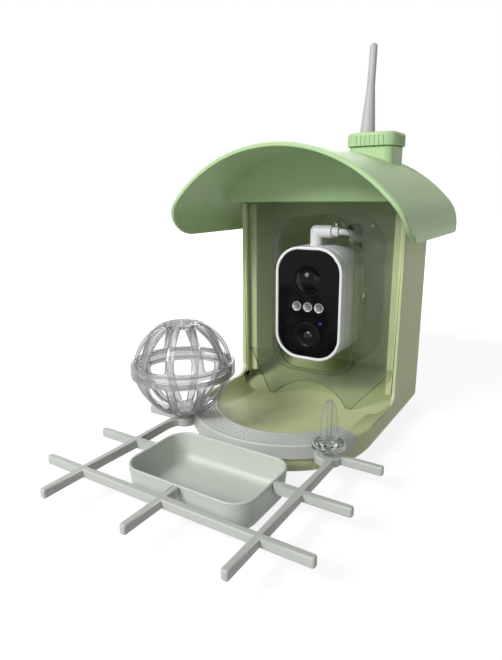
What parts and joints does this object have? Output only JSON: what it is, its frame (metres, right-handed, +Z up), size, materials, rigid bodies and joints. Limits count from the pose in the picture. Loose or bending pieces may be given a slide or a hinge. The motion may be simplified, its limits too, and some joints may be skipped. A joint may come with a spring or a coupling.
{
  "type": "smart bird feeder",
  "caption": "Seed house with a clear window, a camera in a niche, an arched roof with a refill cap, a folding antenna and a clip-on perch with bowl, food ball and fruit spike.",
  "frame": {"origin": "on the base plane, midway between the side walls, in the plane of the walls' front lips, at the mouth of the pole insert", "axes": "+X to the viewer's right, +Y from the tray to the rear wall, +Z up"},
  "size_m": [0.1921, 0.3169, 0.3076],
  "materials": {
    "body_plastic": "satin",
    "roof_plastic": "fine ridged",
    "clear_plastic": "clear",
    "perch_plastic": "satin",
    "bowl_plastic": "satin",
    "white_plastic": "satin",
    "antenna_plastic": "satin",
    "black_gloss": "gloss",
    "lens_black": "satin",
    "lens_glass": "coated",
    "lamp": "bright",
    "status_blue": "lit",
    "steel": "zinc plated",
    "brass": "machined",
    "rubber": "matt",
    "white_rubber": "matt",
    "circuit": "solder mask",
    "cell": "wrapped"
  },
  "bodies": {
    "house": {"house_walls": "body_plastic", "house_base": "body_plastic", "pole_insert": "brass", "seed_window": "clear_plastic", "camera_niche": "clear_plastic", "camera_front": "white_plastic", "camera_back": "white_plastic", "case_seal": "rubber", "case_screws": "steel", "camera_face": "black_gloss", "pir_lens": "black_gloss", "pir_sensor": "steel", "lens_barrel": "lens_black", "lens_glass": "lens_glass", "ir_leds": "lamp", "status_led": "status_blue", "face_ports": "lens_black", "camera_board": "circuit", "battery_cells": "cell", "speaker": "lens_black", "camera_bracket": "white_plastic", "camera_screw": "steel", "bracket_screws": "steel", "antenna_socket": "brass", "antenna_plug": "white_plastic", "port_cover": "white_rubber", "antenna_lead": "white_rubber", "lead_grommet": "rubber", "antenna_mount": "antenna_plastic", "antenna_mount_screws": "steel"},
    "roof_unit": {"roof": "roof_plastic"},
    "cap_unit": {"refill_cap": "roof_plastic", "cap_seal": "rubber"},
    "button": {"power_button": "white_rubber"},
    "swivel": {"antenna_swivel": "antenna_plastic", "antenna_pin": "steel"},
    "rod": {"antenna_rod": "antenna_plastic"},
    "perch": {"perch_frame": "perch_plastic"},
    "bowl": {"fruit_bowl": "bowl_plastic"},
    "ball_base": {"ball_lower": "clear_plastic", "ball_foot": "clear_plastic"},
    "ball_lid": {"ball_upper": "clear_plastic"},
    "spike": {"fruit_spike": "clear_plastic"}
  },
  "joints": [
    {"name": "roof_lift", "type": "slide", "parent": "house", "child": "roof_unit", "axis": [0, 0, 1], "range_m": [0, 0.04]},
    {"name": "cap_lift", "type": "slide", "parent": "roof_unit", "child": "cap_unit", "axis": [0, 0, 1], "range_m": [0, 0.03]},
    {"name": "power_button_press", "type": "slide", "parent": "house", "child": "button", "axis": [0, 0, 1], "range_m": [0, 0.0008], "stiffness_N_per_m": 300},
    {"name": "antenna_turn", "type": "hinge", "parent": "house", "child": "swivel", "pos_m": [0.008, 0.079, 0.172], "axis": [0, 0, 1], "range_deg": [-90, 90]},
    {"name": "antenna_fold", "type": "hinge", "parent": "swivel", "child": "rod", "pos_m": [0.008, 0.079, 0.193], "axis": [-1, 0, 0], "range_deg": [-5, 85]},
    {"name": "perch_lift", "type": "slide", "parent": "house", "child": "perch", "axis": [0, 0, 1], "range_m": [0, 0.025]},
    {"name": "bowl_lift", "type": "slide", "parent": "perch", "child": "bowl", "axis": [0, 0, 1], "range_m": [0, 0.018]},
    {"name": "ball_lift", "type": "slide", "parent": "perch", "child": "ball_base", "axis": [0, 0, 1], "range_m": [0, 0.02]},
    {"name": "ball_open", "type": "slide", "parent": "ball_base", "child": "ball_lid", "axis": [0, 0, 1], "range_m": [0, 0.04]},
    {"name": "spike_lift", "type": "slide", "parent": "perch", "child": "spike", "axis": [0, 0, 1], "range_m": [0, 0.02]}
  ]
}
